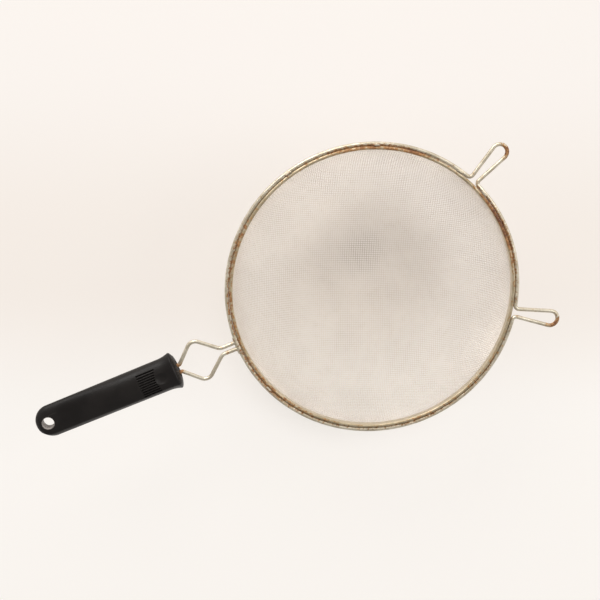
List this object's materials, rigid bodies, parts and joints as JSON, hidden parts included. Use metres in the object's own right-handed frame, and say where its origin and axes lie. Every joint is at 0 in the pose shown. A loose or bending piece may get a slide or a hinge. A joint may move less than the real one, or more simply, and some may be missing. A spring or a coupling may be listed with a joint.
{
  "type": "mesh strainer",
  "caption": "Round wire mesh kitchen strainer: a woven bowl in a folded rim, a bent wire frame with rest ears and a diamond neck, and a soft black grip with finger fins and a hanging hole.",
  "frame": {"origin": "on the bowl's axis, in the plane of the underside of the frame wire, where the strainer rests on a pot", "axes": "+Z out of the bowl's mouth, handle along -X, rest ears towards +X"},
  "size_m": [0.3777, 0.208, 0.0897],
  "materials": {
    "wire_cloth": "dulled tinned steel wire cloth",
    "rim_sheet": "dulled tinned steel with rust",
    "frame_wire": "dulled tinned steel wire with rust",
    "weld_metal": "grey weld metal",
    "core_plastic": "hard black plastic",
    "grip_rubber": "soft satin black rubber, slightly dusty"
  },
  "bodies": {
    "root": {"mesh_bowl": "wire_cloth", "rim_band": "rim_sheet", "rim_core_wire": "rim_sheet", "frame_wire": "frame_wire", "rim_welds": "weld_metal", "neck_weld": "weld_metal", "handle_core": "core_plastic", "handle_grip": "grip_rubber"}
  },
  "joints": []
}
